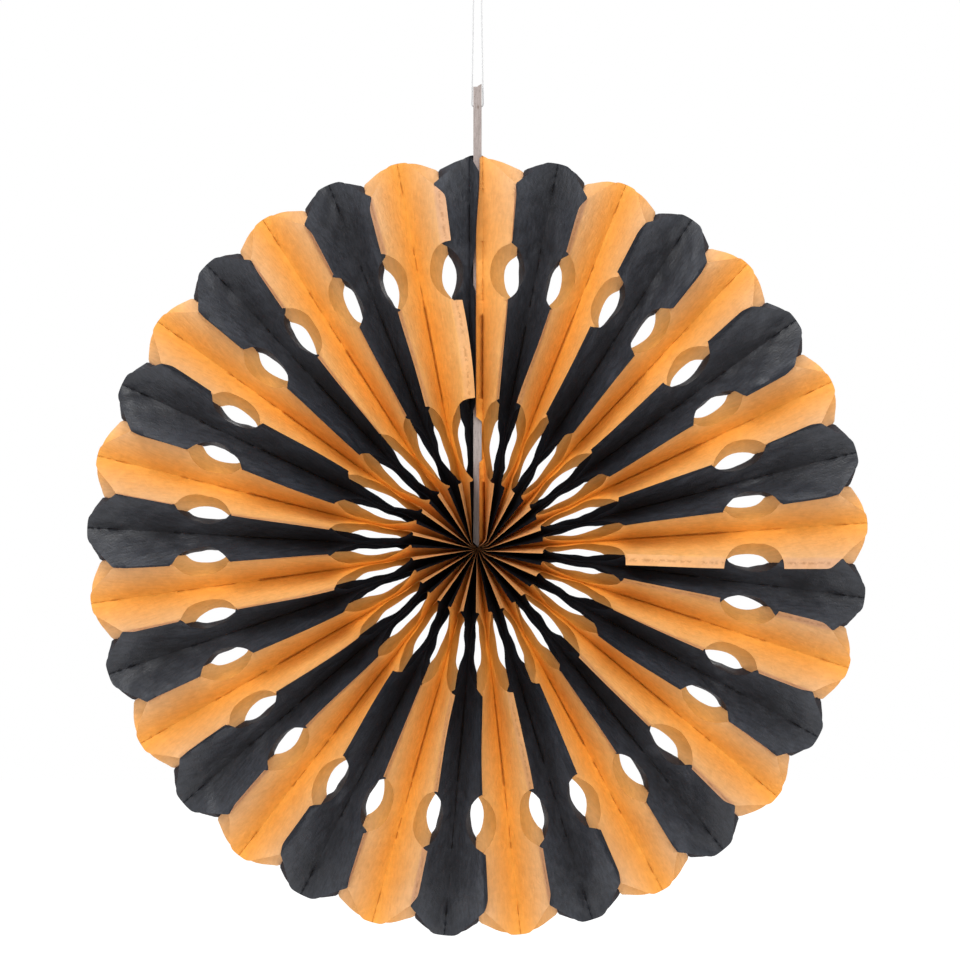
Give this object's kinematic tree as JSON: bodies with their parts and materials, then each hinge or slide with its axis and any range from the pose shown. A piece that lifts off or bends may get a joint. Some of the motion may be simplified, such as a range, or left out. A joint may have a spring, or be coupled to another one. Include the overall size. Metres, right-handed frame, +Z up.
{
  "type": "paper fan medallion",
  "caption": "Round die-cut tissue paper fan in alternating orange and black petals, opened flat and hung by a thread loop from two card strips.",
  "frame": {"origin": "the point where the top of the thread loop bears on a hook", "axes": "the disc stands in the XZ plane, its front faces -Y, +Y is its thickness, +Z is up, along the card strips and the thread"},
  "size_m": [0.406, 0.0548, 0.5263],
  "materials": {
    "orange_tissue": "matt translucent tissue paper",
    "black_tissue": "matt tissue paper with a faint sheen and fine crinkles",
    "grey_card": "uncoated grey chipboard",
    "white_thread": "twisted white cotton thread"
  },
  "bodies": {
    "root": {"black_petal_01": "black_tissue", "orange_petal_01": "orange_tissue", "black_petal_02": "black_tissue", "orange_petal_02": "orange_tissue", "black_petal_03": "black_tissue", "orange_petal_03": "orange_tissue", "black_petal_04": "black_tissue", "orange_petal_04": "orange_tissue", "black_petal_05": "black_tissue", "orange_petal_05": "orange_tissue", "black_petal_06": "black_tissue", "orange_petal_06": "orange_tissue", "black_petal_07": "black_tissue", "orange_petal_07": "orange_tissue", "black_petal_08": "black_tissue", "orange_petal_08": "orange_tissue", "black_petal_09": "black_tissue", "orange_petal_09": "orange_tissue", "black_petal_10": "black_tissue", "orange_petal_10": "orange_tissue", "black_petal_11": "black_tissue", "orange_petal_11": "orange_tissue", "black_petal_12": "black_tissue", "orange_petal_12": "orange_tissue", "black_petal_13": "black_tissue", "orange_petal_13": "orange_tissue", "black_petal_14": "black_tissue", "orange_petal_14": "orange_tissue", "black_petal_15": "black_tissue", "orange_petal_15": "orange_tissue", "black_petal_16": "black_tissue", "orange_petal_16": "orange_tissue", "orange_end_petal": "orange_tissue", "black_end_petal": "black_tissue", "left_strip": "grey_card", "right_strip": "grey_card", "hanging_thread": "white_thread", "thread_knot": "white_thread"}
  },
  "joints": []
}
